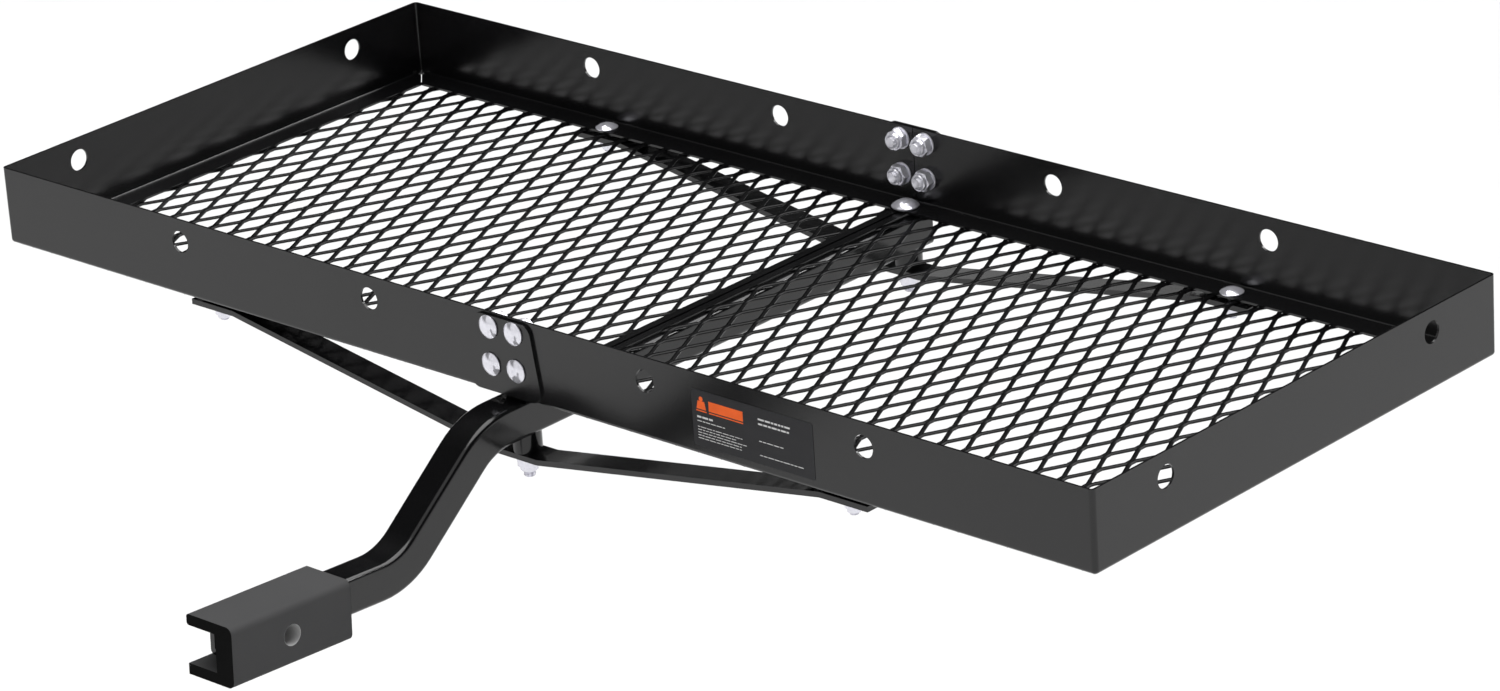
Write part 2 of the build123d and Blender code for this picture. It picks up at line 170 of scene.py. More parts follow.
class CarrierPaintSettings(bpy.types.PropertyGroup):
    """Black powder coat"""

    colour: FloatVectorProperty(
        name="Coat colour",
        description="Colour of the black powder coat",
        default=(0.003, 0.003, 0.0033, 1.0),
        size=4,
        subtype="COLOR",
        min=0.0,
        max=1.0,
    )
    roughness: FloatProperty(
        name="Coat roughness",
        description="Mean roughness of the powder coat",
        default=0.2,
        min=0.0,
        max=1.0,
        subtype="FACTOR",
    )
    peel_size: FloatProperty(
        name="Orange peel size",
        description="Distance between the dimples of the coat",
        default=0.0026,
        subtype="DISTANCE",
        unit="LENGTH",
    )
    peel_depth: FloatProperty(
        name="Orange peel depth",
        description="Depth of the dimples of the coat",
        default=0.00002,
        precision=6,
        subtype="DISTANCE",
        unit="LENGTH",
    )


class CarrierMeshSettings(bpy.types.PropertyGroup):
    """Expanded metal of the two decks"""

    strand_pitch: FloatProperty(
        name="Strand pitch",
        description="Distance between neighbouring strands across the deck",
        default=0.01215,
        subtype="DISTANCE",
        unit="LENGTH",
    )
    long_pitch: FloatProperty(
        name="Long pitch",
        description="Length of one diamond from bond to bond",
        default=0.054,
        subtype="DISTANCE",
        unit="LENGTH",
    )
    phase: FloatProperty(
        name="Phase",
        description="How far the first opening's centre lies behind the middle of the deck",
        default=0.007,
        subtype="DISTANCE",
        unit="LENGTH",
    )
    strand_width: FloatProperty(
        name="Strand width",
        description="Width of one strand of the expanded metal",
        default=0.0036,
        subtype="DISTANCE",
        unit="LENGTH",
    )
    strand_thickness: FloatProperty(
        name="Strand thickness",
        description="Thickness of one strand of the expanded metal",
        default=0.0014,
        subtype="DISTANCE",
        unit="LENGTH",
    )
    strand_chamfer: FloatProperty(
        name="Strand edge",
        description="Rounding of the strand's cut edges",
        default=0.00025,
        precision=5,
        subtype="DISTANCE",
        unit="LENGTH",
    )
    strand_tilt: FloatProperty(
        name="Strand tilt",
        description="How far each strand leans out of the deck's plane",
        default=math.radians(12),
        subtype="ANGLE",
        unit="ROTATION",
    )
    bond_length: FloatProperty(
        name="Bond length",
        description="Length over which neighbouring strands stay joined",
        default=0.0075,
        subtype="DISTANCE",
        unit="LENGTH",
    )
    steps: IntProperty(
        name="Steps",
        description="Straight pieces in one diamond's length of strand",
        default=16,
        min=4,
    )


class CarrierHardwareSettings(bpy.types.PropertyGroup):
    """Bolts, washers and lock nuts"""

    colour: FloatVectorProperty(
        name="Plating colour",
        description="Colour of the bright zinc plating",
        default=(0.82, 0.815, 0.88, 1.0),
        size=4,
        subtype="COLOR",
        min=0.0,
        max=1.0,
    )
    roughness: FloatProperty(
        name="Plating roughness",
        description="Mean roughness of the plating",
        default=0.13,
        min=0.0,
        max=1.0,
        subtype="FACTOR",
    )
    sides: IntProperty(
        name="Turned sides",
        description="Sides of every turned part, a multiple of six so that the hexagons close",
        default=48,
        min=12,
    )
    roll_seed: IntProperty(
        name="Roll seed",
        description="Seed of the way each nut and bolt happens to be turned",
        default=5,
    )


class CarrierLabelSettings(bpy.types.PropertyGroup):
    """Generic rating label"""

    accent: FloatVectorProperty(
        name="Accent colour",
        description="Colour of the pictogram and the band",
        default=(0.82, 0.125, 0.02, 1.0),
        size=4,
        subtype="COLOR",
        min=0.0,
        max=1.0,
    )
    ink: FloatVectorProperty(
        name="Ink colour",
        description="Colour of the fine printed rules",
        default=(0.62, 0.62, 0.62, 1.0),
        size=4,
        subtype="COLOR",
        min=0.0,
        max=1.0,
    )
    print_height: FloatProperty(
        name="Print height",
        description="How far the print stands on the film",
        default=0.00004,
        precision=6,
        subtype="DISTANCE",
        unit="LENGTH",
    )


class CarrierSettings(bpy.types.PropertyGroup):
    """All settings of the carrier"""

    stage: PointerProperty(type=CarrierStageSettings)
    paint: PointerProperty(type=CarrierPaintSettings)
    mesh: PointerProperty(type=CarrierMeshSettings)
    hardware: PointerProperty(type=CarrierHardwareSettings)
    label: PointerProperty(type=CarrierLabelSettings)


# ---------------------------------------------------------------- material helpers


def new_shader(name):
    """A material with one Principled shader, its node tree and that shader."""
    material = bpy.data.materials.new(name)
    material.use_nodes = True
    tree = material.node_tree
    shader = tree.nodes.get("Principled BSDF")
    return material, tree, shader


def object_noise(tree, size, detail=3.0, distortion=0.0):
    """Noise on Object coordinates whose cells are about size metres across."""
    place = tree.nodes.new("ShaderNodeTexCoord")
    noise = tree.nodes.new("ShaderNodeTexNoise")
    noise.inputs["Scale"].default_value = 1.0 / size
    noise.inputs["Detail"].default_value = detail
    noise.inputs["Distortion"].default_value = distortion
    tree.links.new(place.outputs["Object"], noise.inputs["Vector"])
    return noise.outputs["Fac"]


def spread(tree, source, low, high, target):
    """Maps a 0 to 1 source onto low to high and feeds target."""
    ranged = tree.nodes.new("ShaderNodeMapRange")
    ranged.inputs["From Min"].default_value = 0.3
    ranged.inputs["From Max"].default_value = 0.7
    ranged.inputs["To Min"].default_value = low
    ranged.inputs["To Max"].default_value = high
    tree.links.new(source, ranged.inputs["Value"])
    tree.links.new(ranged.outputs["Result"], target)


def toned(tree, source, dark, light, low=0.3, high=0.7):
    """A colour that goes from dark to light as a source goes from low to high."""
    return ramped(tree, source, ((low, dark), (high, light)))


def ramped(tree, source, stops):
    """The colour of a ramp of (position, colour) stops at a source."""
    ramp = tree.nodes.new("ShaderNodeValToRGB")
    elements = ramp.color_ramp.elements
    while len(elements) < len(stops):
        elements.new(1.0)
    for element, (position, colour) in zip(elements, stops):
        element.position = position
        element.color = colour
    tree.links.new(source, ramp.inputs["Fac"])
    return ramp.outputs["Color"]


def tint(tree, source, dark, light, shader):
    """Blends two colours by a 0 to 1 source into a shader's base colour."""
    tree.links.new(toned(tree, source, dark, light), shader.inputs["Base Color"])


def vector_math(tree, operation, source, other=None, output="Vector"):
    """A vector operation on a source and either a fixed vector or a second source."""
    made = tree.nodes.new("ShaderNodeVectorMath")
    made.operation = operation
    tree.links.new(source, made.inputs[0])
    if isinstance(other, bpy.types.NodeSocket):
        tree.links.new(other, made.inputs[1])
    elif other is not None:
        made.inputs[1].default_value = other
    return made.outputs[output]


def mixed(tree, share, first, second):
    """A blend of two colours, each fixed or from a socket. A share of 1 gives the second."""
    mix = tree.nodes.new("ShaderNodeMix")
    mix.data_type = "RGBA"
    # a Mix node has sockets for every kind of data: 0 is the factor, 6, 7 and output 2 are the colours
    tree.links.new(share, mix.inputs[0])
    for index, colour in ((6, first), (7, second)):
        if isinstance(colour, bpy.types.NodeSocket):
            tree.links.new(colour, mix.inputs[index])
        else:
            mix.inputs[index].default_value = colour
    return mix.outputs[2]


def relief(tree, shader, heights):
    """Chains bumps of (source, depth in metres) into the shader's normal."""
    last = None
    for source, depth in heights:
        bump = tree.nodes.new("ShaderNodeBump")
        bump.inputs["Strength"].default_value = 1.0
        bump.inputs["Distance"].default_value = depth
        tree.links.new(source, bump.inputs["Height"])
        if last is not None:
            tree.links.new(last, bump.inputs["Normal"])
        last = bump.outputs["Normal"]
    tree.links.new(last, shader.inputs["Normal"])


def scaled(colour, share):
    """A colour made lighter or darker by a share."""
    return tuple(min(1.0, c * share) for c in colour[:3]) + (1.0,)


def powder_coat(name, paint, gloss=1.0, lighter=1.0, peel=1.0, shine=0.5):
    """Black powder coat: orange peel, faint film streaks and a roughness that wanders."""
    material, tree, shader = new_shader(name)
    shader.inputs["IOR"].default_value = 1.5
    shader.inputs["Specular IOR Level"].default_value = shine
    cloud = object_noise(tree, COAT_CLOUD, 4.0, 0.4)
    dimples = object_noise(tree, paint.peel_size, 2.0)
    grain = object_noise(tree, paint.peel_size * 0.22, 1.0)
    base = tuple(paint.colour)
    tint(tree, cloud, scaled(base, 0.85 * lighter), scaled(base, 1.25 * lighter), shader)
    rough = paint.roughness * gloss
    spread(tree, cloud, rough * 0.9, rough * 1.12, shader.inputs["Roughness"])
    relief(tree, shader, [(dimples, paint.peel_depth * peel), (grain, paint.peel_depth * 0.12 * peel)])
    return material


def sleeve_coat(name, paint):
    """Satin dark grey coat of the sliding sleeve, with painted shade in near black on its ends and painted
    light in light grey on the wall of its pin hole.
    """
    material, tree, shader = new_shader(name)
    shader.inputs["Specular IOR Level"].default_value = 0.02
    cloud = object_noise(tree, SLEEVE_CLOUD, 4.0, 0.4)
    dimples = object_noise(tree, paint.peel_size, 2.0)
    satin = toned(tree, cloud, *SLEEVE_GREYS, low=0.0, high=1.0)
    place = tree.nodes.new("ShaderNodeTexCoord").outputs["Object"]
    # distance along the sleeve's own axis, past which a face is one of its ends and gets painted shade, near
    # black
    slide = Vector(frame["joints"][0]["axis"])
    reaches = [Vector(v.co).dot(slide) for v in frame["nodes"]["hitch_adapter"].data.vertices]
    reach, start = max(reaches), min(reaches)
    between = tree.nodes.new("ShaderNodeMath")
    between.operation = "COMPARE"
    between.inputs[1].default_value = (reach + start) / 2
    between.inputs[2].default_value = (reach - start) / 2 - END_SHADE_DEPTH
    along = vector_math(tree, "DOT_PRODUCT", place, slide, "Value")
    tree.links.new(along, between.inputs[0])
    # painted shade: the sleeve's ends turn near black
    end_shaded = mixed(tree, between.outputs["Value"], END_SHADE_BLACK, satin)
    # the drilled pin hole runs along the X axis and its wall gets painted light, a light grey
    off_axis = vector_math(tree, "MULTIPLY", place, (0.0, 1.0, 1.0))
    bore = tree.nodes.new("ShaderNodeMath")
    bore.operation = "LESS_THAN"
    bore.inputs[1].default_value = BORE_REACH
    tree.links.new(vector_math(tree, "LENGTH", off_axis, output="Value"), bore.inputs[0])
    # painted light: the wall of the pin hole turns light grey
    finish = mixed(tree, bore.outputs["Value"], end_shaded, PAINTED_BORE_LIGHT)
    tree.links.new(finish, shader.inputs["Base Color"])
    spread(tree, cloud, 0.5, 0.62, shader.inputs["Roughness"])
    relief(tree, shader, [(dimples, paint.peel_depth * 1.6)])
    return material


def zinc_plate(name, hardware, darker=1.0):
    """Bright zinc plating: faint lavender cast, fine crystal grain and soft tool marks."""
    material, tree, shader = new_shader(name)
    shader.inputs["Metallic"].default_value = 0.62
    cloud = object_noise(tree, 0.004, 3.0)
    grain = object_noise(tree, 0.0005, 2.0)
    base = scaled(hardware.colour, darker)
    tint(tree, cloud, scaled(base, 0.93), scaled(base, 1.04), shader)
    spread(tree, cloud, hardware.roughness * 0.8, hardware.roughness * 1.25, shader.inputs["Roughness"])
    relief(tree, shader, [(grain, 0.000006)])
    return material


def nylon(name):
    """Pale nylon of a lock nut's insert."""
    material, tree, shader = new_shader(name)
    shader.inputs["Subsurface Weight"].default_value = 0.15
    shader.inputs["Subsurface Radius"].default_value = (0.0006, 0.0006, 0.0006)
    cloud = object_noise(tree, 0.0012, 3.0)
    tint(tree, cloud, *NYLON_GREYS, shader)
    spread(tree, cloud, 0.42, 0.55, shader.inputs["Roughness"])
    relief(tree, shader, [(cloud, 0.00002)])
    return material


def film(name, colour, roughness):
    """Printed vinyl film with a faint mottle."""
    material, tree, shader = new_shader(name)
    shader.inputs["Specular IOR Level"].default_value = 0.17
    cloud = object_noise(tree, 0.012, 4.0)
    fine = object_noise(tree, 0.0009, 2.0)
    tint(tree, cloud, scaled(colour, 0.94), scaled(colour, 1.06), shader)
    spread(tree, cloud, roughness * 0.9, roughness * 1.1, shader.inputs["Roughness"])
    relief(tree, shader, [(fine, 0.000004)])
    return material


def paint_nodes(names, material):
    """Gives CAD nodes a finish through their material slots."""
    for name in names:
        for slot in frame["nodes"][name].material_slots:
            slot.material = material


# ---------------------------------------------------------------- mesh helpers


def mesh_object(name, mesh):
    """An object at the origin that shows mesh."""
    piece = bpy.data.objects.new(name, mesh)
    bpy.context.scene.collection.objects.link(piece)
    return piece


def raw_mesh(name, points, faces):
    """A mesh from points and faces, its faces pointing outward."""
    mesh = bpy.data.meshes.new(name)
    mesh.from_pydata(points, [], faces)
    bm = bmesh.new()
    bm.from_mesh(mesh)
    bmesh.ops.recalc_face_normals(bm, faces=bm.faces)
    bm.to_mesh(mesh)
    bm.free()
    return mesh


def soft_edges(mesh, degrees):
    """Smooth shading with edges sharper than an angle left crisp."""
    mesh.polygons.foreach_set("use_smooth", [True] * len(mesh.polygons))
    mesh.set_sharp_from_angle(angle=math.radians(degrees))
    mesh.update()


def turned_mesh(name, outline, sides, crisp, hollow):
    """A part turned about the Z axis from (radius, height) pairs, its edges crisp past an angle in degrees.

    A radius is a number or a function of the angle. A hollow part's last ring joins its first;
    otherwise both end rings are closed with a face.
    """
    points = []
    for radius, height in outline:
        for side in range(sides):
            angle = 2 * math.pi * side / sides
            r = radius(angle) if callable(radius) else radius
            points.append((r * math.cos(angle), r * math.sin(angle), height))
    rings = len(outline)
    faces = []
    for row in range(rings if hollow else rings - 1):
        here = row * sides
        there = ((row + 1) % rings) * sides
        for side in range(sides):
            after = (side + 1) % sides
            faces.append((here + side, here + after, there + after, there + side))
    if not hollow:
        faces.append(tuple(range(sides)))
        faces.append(tuple(range((rings - 1) * sides, rings * sides)))
    mesh = raw_mesh(name, points, faces)
    soft_edges(mesh, crisp)
    return mesh


def realised(source, node_tree, inputs, name):
    """Evaluates a node tree on source with named inputs, as one plain mesh."""
    modifier = source.modifiers.new(name, "NODES")
    modifier.node_group = node_tree
    for item in node_tree.interface.items_tree:
        if item.item_type == "SOCKET" and item.in_out == "INPUT" and item.name in inputs:
            modifier[item.identifier] = inputs[item.name]
    source.update_tag()
    bpy.context.view_layer.update()
    depsgraph = bpy.context.evaluated_depsgraph_get()
    mesh = bpy.data.meshes.new_from_object(source.evaluated_get(depsgraph))
    source.modifiers.remove(modifier)
    if len(mesh.polygons) == 0:
        raise RuntimeError(f"the node tree made no faces for {name}")
    mesh.name = name
    return mesh


class TreeMaker:
    """A short way to write a geometry node tree."""

    def __init__(self, name, sockets):
        self.tree = bpy.data.node_groups.new(name, "GeometryNodeTree")
        self.tree.is_modifier = True
        face = self.tree.interface
        for label, kind, default in sockets:
            socket = face.new_socket(name=label, in_out="INPUT", socket_type=kind)
            if default is not None:
                socket.default_value = default
        face.new_socket(name="Geometry", in_out="OUTPUT", socket_type="NodeSocketGeometry")
        self.inputs = self.tree.nodes.new("NodeGroupInput")
        self.output = self.tree.nodes.new("NodeGroupOutput")

    def value(self, label):
        return self.inputs.outputs[label]

    def node(self, kind, links=(), **settings):
        made = self.tree.nodes.new(kind)
        for key, setting in settings.items():
            setattr(made, key, setting)
        for target, source in links:
            socket = made.inputs[target]
            if isinstance(source, bpy.types.NodeSocket):
                self.tree.links.new(source, socket)
            else:
                socket.default_value = source
        return made

    def math(self, operation, first, second=0.0):
        return self.node("ShaderNodeMath", [(0, first), (1, second)], operation=operation).outputs[0]

    def vector(self, x=0.0, y=0.0, z=0.0):
        return self.node("ShaderNodeCombineXYZ", [("X", x), ("Y", y), ("Z", z)]).outputs[0]

    def finish(self, geometry):
        self.tree.links.new(geometry, self.output.inputs["Geometry"])
        return self.tree


# ---------------------------------------------------------------- stage


def aim(thing, eye, target):
    """Puts a light at eye, facing target."""
    thing.location = eye
    thing.rotation_mode = "QUATERNION"
    thing.rotation_quaternion = (Vector(target) - Vector(eye)).to_track_quat("-Z", "Y")


def strip_light(name, eye, target, sides, power):
    """A rectangular area light."""
    data = bpy.data.lights.new(name, "AREA")
    data.shape = "RECTANGLE"
    data.size, data.size_y = sides
    data.energy = power
    lamp = bpy.data.objects.new(name, data)
    bpy.context.scene.collection.objects.link(lamp)
    aim(lamp, eye, target)


def greys(stops):
    """Grey ramp stops from (position, brightness) pairs."""
    return [(position, (bright, bright, bright, 1.0)) for position, bright in stops]


def studio_world(strength):
    """White at the horizon, dark above it, a pale card high in front, and a plain white backdrop."""
    world = bpy.data.worlds.new("studio_surround")
    world.use_nodes = True
    tree = world.node_tree
    tree.nodes.clear()
    output = tree.nodes.new("ShaderNodeOutputWorld")
    glow = tree.nodes.new("ShaderNodeBackground")
    glow.inputs["Strength"].default_value = strength
    backdrop = tree.nodes.new("ShaderNodeBackground")
    backdrop.inputs["Color"].default_value = (1.0, 1.0, 1.0, 1.0)
    direction = tree.nodes.new("ShaderNodeTexCoord").outputs["Generated"]
    split = tree.nodes.new("ShaderNodeSeparateXYZ")
    tree.links.new(direction, split.inputs["Vector"])
    sky = ramped(tree, split.outputs["Z"], greys(SKY_STOPS))
    nearness = vector_math(tree, "DOT_PRODUCT", direction, Vector(CARD_DIRECTION).normalized(), "Value")
    card = ramped(tree, nearness, greys(CARD_STOPS))
    path = tree.nodes.new("ShaderNodeLightPath")
    mix = tree.nodes.new("ShaderNodeMixShader")
    tree.links.new(vector_math(tree, "MAXIMUM", sky, card), glow.inputs["Color"])
    tree.links.new(path.outputs["Is Camera Ray"], mix.inputs[0])
    tree.links.new(glow.outputs["Background"], mix.inputs[1])
    tree.links.new(backdrop.outputs["Background"], mix.inputs[2])
    tree.links.new(mix.outputs[0], output.inputs["Surface"])
    bpy.context.scene.world = world


def stage_floor(settings):
    """A plain pale floor well under the carrier."""
    half = settings.floor_size / 2
    height = cad_box[0].z - settings.floor_drop
    corners = [(x, y, height) for x, y in ((-half, -half), (half, -half), (half, half), (-half, half))]
    mesh = bpy.data.meshes.new("floor")
    mesh.from_pydata(corners, [], [(0, 1, 2, 3)])
    floor = mesh_object("studio_floor", mesh)
    material, tree, shader = new_shader("floor_paper")
    shader.inputs["Roughness"].default_value = 0.9
    shader.inputs["Specular IOR Level"].default_value = 0.1
    tint(tree, object_noise(tree, 0.6), *FLOOR_GREYS, shader)
    mesh.materials.append(material)


def stage_camera(settings):
    """The camera, in front of and above the right-hand corner."""
    data = bpy.data.cameras.new("camera")
    data.sensor_width = 36.0
    data.lens = settings.lens
    data.clip_start = 0.05
    data.clip_end = 200.0
    camera = bpy.data.objects.new("camera", data)
    bpy.context.scene.collection.objects.link(camera)
    # the rows are the camera's right, up and backward directions
    turn = Matrix(CAMERA_AXES).transposed()
    camera.matrix_world = Matrix.Translation(CAMERA_PLACE) @ turn.to_4x4()
    bpy.context.scene.camera = camera


class CARRIER_OT_stage(bpy.types.Operator):
    """Build the floor, the surround, the lights and the camera"""

    bl_idname = "carrier.stage"
    bl_label = "Stage"

    def execute(self, context):
        settings = context.scene.carrier.stage
        context.scene.view_settings.view_transform = "Standard"
        studio_world(settings.sky_strength)
        stage_floor(settings)
        middle = (cad_box[0] + cad_box[1]) / 2
        key = bpy.data.objects.new("overhead_key", bpy.data.lights.new("overhead_key", "SUN"))
        key.data.energy = settings.key_strength
        key.data.angle = settings.key_spread
        context.scene.collection.objects.link(key)
        aim(key, middle + Vector(KEY_DIRECTION), middle)
        strip = (middle.x + STRIP_PLACE[0], middle.y + STRIP_PLACE[1], STRIP_PLACE[2])
        strip_light("edge_strip", strip, middle, STRIP_SIDES, settings.rim_power)
        stage_camera(settings)
        return {"FINISHED"}


# ---------------------------------------------------------------- painted steel


class CARRIER_OT_tray_paint(bpy.types.Operator):
    """Coat the two folded rims and the splice plates"""

    bl_idname = "carrier.tray_paint"
    bl_label = "Tray paint"

    def execute(self, context):
        paint = context.scene.carrier.paint
        paint_nodes(RIMS, powder_coat("tray_powder_coat", paint))
        paint_nodes(SPLICE_PLATES, powder_coat("plate_powder_coat", paint, gloss=0.95))
        paint_nodes(SEAM_BARS, powder_coat("bar_powder_coat", paint, gloss=1.1))
        return {"FINISHED"}


class CARRIER_OT_steel_paint(bpy.types.Operator):
    """Coat the shank, the braces, the spacers and the sliding sleeve"""

    bl_idname = "carrier.steel_paint"
    bl_label = "Steel paint"

    def execute(self, context):
        paint = context.scene.carrier.paint
        paint_nodes(STEEL, powder_coat("steel_powder_coat", paint, gloss=0.8, peel=0.8))
        paint_nodes(("hitch_adapter",), sleeve_coat("sleeve_satin_coat", paint))
        return {"FINISHED"}


# ---------------------------------------------------------------- expanded metal


def strand_tree():
    """Zigzag strands side by side, joined where they touch. The strand is made once and repeated."""
    maker = TreeMaker(
        "expanded_metal",
        [
            ("Geometry", "NodeSocketGeometry", None),
            ("Strands", "NodeSocketInt", 10),
            ("Strand Offset", "NodeSocketFloat", 0.01),
            ("First Strand", "NodeSocketVector", None),
            ("Long Pitch", "NodeSocketFloat", 0.05),
            ("Points", "NodeSocketInt", 100),
            ("Point Step", "NodeSocketFloat", 0.003),
            ("Width", "NodeSocketFloat", 0.003),
            ("Thickness", "NodeSocketFloat", 0.001),
            ("Chamfer", "NodeSocketFloat", 0.0002),
            ("Tilt", "NodeSocketFloat", 0.3),
            ("Swing", "NodeSocketFloat", 0.004),
            ("Dip", "NodeSocketFloat", 0.001),
            ("Bond Gain", "NodeSocketFloat", 1.2),
            ("Material", "NodeSocketMaterial", None),
        ],
    )
    value = maker.value
    # the strand's centre line, straight along Y and centred on a bond
    whole = maker.math("MULTIPLY", maker.math("SUBTRACT", value("Points"), 1.0), value("Point Step"))
    start = maker.vector(y=maker.math("MULTIPLY", whole, -0.5))
    line = maker.node(
        "GeometryNodeMeshLine",
        [
            ("Count", value("Points")),
            ("Start Location", start),
            ("Offset", maker.vector(y=value("Point Step"))),
        ],
        mode="OFFSET",
    )
    # a triangle wave of y, cut flat at both ends where strands are bonded
    position = maker.node("GeometryNodeInputPosition").outputs[0]
    along = maker.node("ShaderNodeSeparateXYZ", [(0, position)]).outputs["Y"]
    share = maker.math("FRACT", maker.math("DIVIDE", along, value("Long Pitch")))
    triangle = maker.math("SUBTRACT", maker.math("ABSOLUTE", maker.math("SUBTRACT", share, 0.5)), 0.25)
    gain = maker.math("MULTIPLY", value("Bond Gain"), 4.0)
    wave = maker.math("MULTIPLY", triangle, gain)
    wave = maker.math("MAXIMUM", maker.math("MINIMUM", wave, 1.0), -1.0)
    sway = maker.vector(
        x=maker.math("MULTIPLY", wave, value("Swing")),
        z=maker.math("MULTIPLY", maker.math("MULTIPLY", wave, value("Dip")), -1.0),
    )
    bent = maker.node("GeometryNodeSetPosition", [("Geometry", line.outputs[0]), ("Offset", sway)])
    curve = maker.node("GeometryNodeMeshToCurve", [(0, bent.outputs[0])])
    upright = maker.node("GeometryNodeSetCurveNormal", [("Curve", curve.outputs[0])])
    upright.mode = "Z_UP"
    tilted = maker.node("GeometryNodeSetCurveTilt", [("Curve", upright.outputs[0]), ("Tilt", value("Tilt"))])
    section = maker.node(
        "GeometryNodeCurvePrimitiveQuadrilateral", [("Width", value("Width")), ("Height", value("Thickness"))]
    )
    cut = maker.node(
        "GeometryNodeFilletCurve",
        [("Curve", section.outputs[0]), ("Count", 1), ("Radius", value("Chamfer"))],
        mode="POLY",
    )
    strand = maker.node(
        "GeometryNodeCurveToMesh",
        [("Curve", tilted.outputs[0]), ("Profile Curve", cut.outputs[0]), ("Fill Caps", True)],
    )
    # one strand per point, every other one half a diamond further back
    row = maker.node(
        "GeometryNodeMeshLine",
        [
            ("Count", value("Strands")),
            ("Start Location", value("First Strand")),
            ("Offset", maker.vector(x=value("Strand Offset"))),
        ],
        mode="OFFSET",
    )
    index = maker.node("GeometryNodeInputIndex").outputs[0]
    even = maker.math("SUBTRACT", 1.0, maker.math("MODULO", index, 2.0))
    half = maker.math("MULTIPLY", maker.math("MULTIPLY", even, value("Long Pitch")), 0.5)
    shift = maker.vector(y=half)
    staggered = maker.node("GeometryNodeSetPosition", [("Geometry", row.outputs[0]), ("Offset", shift)])
    repeated = maker.node(
        "GeometryNodeInstanceOnPoints", [("Points", staggered.outputs[0]), ("Instance", strand.outputs[0])]
    )
    solid = maker.node("GeometryNodeRealizeInstances", [("Geometry", repeated.outputs[0])])
    finished = maker.node(
        "GeometryNodeSetMaterial", [("Geometry", solid.outputs[0]), ("Material", value("Material"))]
    )
    return maker.finish(finished.outputs[0])


def trim(mesh, low, high):
    """Shears a mesh off at the deck's four sides and closes the cuts."""
    bm = bmesh.new()
    bm.from_mesh(mesh)
    cuts = (
        ((low.x, 0, 0), (-1, 0, 0)),
        ((high.x, 0, 0), (1, 0, 0)),
        ((0, low.y, 0), (0, -1, 0)),
        ((0, high.y, 0), (0, 1, 0)),
    )
    for point, outward in cuts:
        everything = bm.verts[:] + bm.edges[:] + bm.faces[:]
        cut = bmesh.ops.bisect_plane(
            bm, geom=everything, dist=1e-7, plane_co=point, plane_no=outward, clear_outer=True
        )
        edges = [e for e in cut["geom_cut"] if isinstance(e, bmesh.types.BMEdge)]
        open_edges = [e for e in edges if e.is_boundary]
        bmesh.ops.holes_fill(bm, edges=open_edges, sides=0)
    bmesh.ops.recalc_face_normals(bm, faces=bm.faces)
    bm.to_mesh(mesh)
    bm.free()


class CARRIER_OT_mesh_decks(bpy.types.Operator):
    """Build the two decks of expanded metal"""

    bl_idname = "carrier.mesh_decks"
    bl_label = "Mesh decks"

    def execute(self, context):
        settings = context.scene.carrier
        mesh = settings.mesh
        coat = powder_coat("mesh_powder_coat", settings.paint, gloss=1.2, lighter=0.6, shine=0.14)
        tree = strand_tree()
        overlap = 0.1 * MM
        swing = (mesh.strand_pitch - mesh.strand_width * math.cos(mesh.strand_tilt) + overlap) / 2
        dip = mesh.strand_width * math.sin(mesh.strand_tilt) / 2
        for node, direction in (("left_mesh_deck", -1), ("right_mesh_deck", 1)):
            low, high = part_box(node)
            bar_low, bar_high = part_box(node.replace("mesh_deck", "seam_bar"))
            # the strands end inside the seam bar, half a millimetre past its edge
            if direction > 0:
                low.x = bar_high.x - 0.5 * MM
            else:
                high.x = bar_low.x + 0.5 * MM
            middle = (low + high) / 2
            first = Vector((direction * mesh.strand_pitch / 2, middle.y + mesh.phase, middle.z))
            outer = max(abs(low.x), abs(high.x))
            strands = math.ceil(outer / mesh.strand_pitch) + 1
            reach = (high.y - low.y) / 2 + mesh.phase + mesh.long_pitch / 2
            periods = math.ceil(reach / mesh.long_pitch * 4) / 2
            source = mesh_object("seed", bpy.data.meshes.new("seed"))
            inputs = {
                "Strands": strands,
                "Strand Offset": direction * mesh.strand_pitch,
                "First Strand": first,
                "Long Pitch": mesh.long_pitch,
                "Points": int(periods * mesh.steps) + 1,
                "Point Step": mesh.long_pitch / mesh.steps,
                "Width": mesh.strand_width,
                "Thickness": mesh.strand_thickness,
                "Chamfer": mesh.strand_chamfer,
                "Tilt": mesh.strand_tilt,
                "Swing": swing,
                "Dip": dip,
                "Bond Gain": 1 / (1 - 2 * mesh.bond_length / mesh.long_pitch),
                "Material": coat,
            }
            name = node.replace("deck", "strands")
            result = realised(source, tree, inputs, name)
            bpy.data.objects.remove(source)
            trim(result, low, high)
            piece = mesh_object(name, result)
            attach(piece, CARRIER)
            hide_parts(node)
        return {"FINISHED"}


# ---------------------------------------------------------------- fasteners


def thread_radius(radius, pitch, angle, height):
    """Radius of a right-hand thread at an angle and height."""
    turn = (height / pitch - angle / (2 * math.pi)) % 1.0
    depth = 0.6 * pitch
    crest = abs(turn - 0.5) * 2
    return radius - depth * max(0.0, min(1.0, 1.25 * crest - 0.125))


def bolt_mesh(name, head, head_height, size, pitch, length, threaded, sides):
    """A domed bolt on the Z axis, head up, the underside of its head at z 0."""
    edge = head / 2
    lip = 0.12 * head_height
    rise = head_height - 2 * lip
    dome = (edge * edge + rise * rise) / (2 * rise)
    full = math.asin(edge / dome)
    outline = []
    for step in range(1, DOME_STEPS + 1):
        turn = full * step / DOME_STEPS
        outline.append((dome * math.sin(turn), 2 * lip + rise - dome * (1 - math.cos(turn))))
    outline += [
        (edge, 0.9 * lip),
        (edge - 0.5 * lip, 0.2 * lip),
        (edge - 1.2 * lip, 0.0),
        (size / 2, 0.0),
        (size / 2, threaded - length),
    ]
    count = round(threaded / pitch * RINGS_PER_TURN)
    for step in range(1, count + 1):
        height = threaded - length - threaded * step / count
        # the thread runs out in a chamfer at the bolt's end
        end = size / 2 - 0.62 * pitch + (height + length)

        def radius(angle, height=height, end=end):
            return min(end, thread_radius(size / 2, pitch, angle, height))

        outline.append((radius, height))
    return turned_mesh(name, outline, sides, 38, hollow=False)


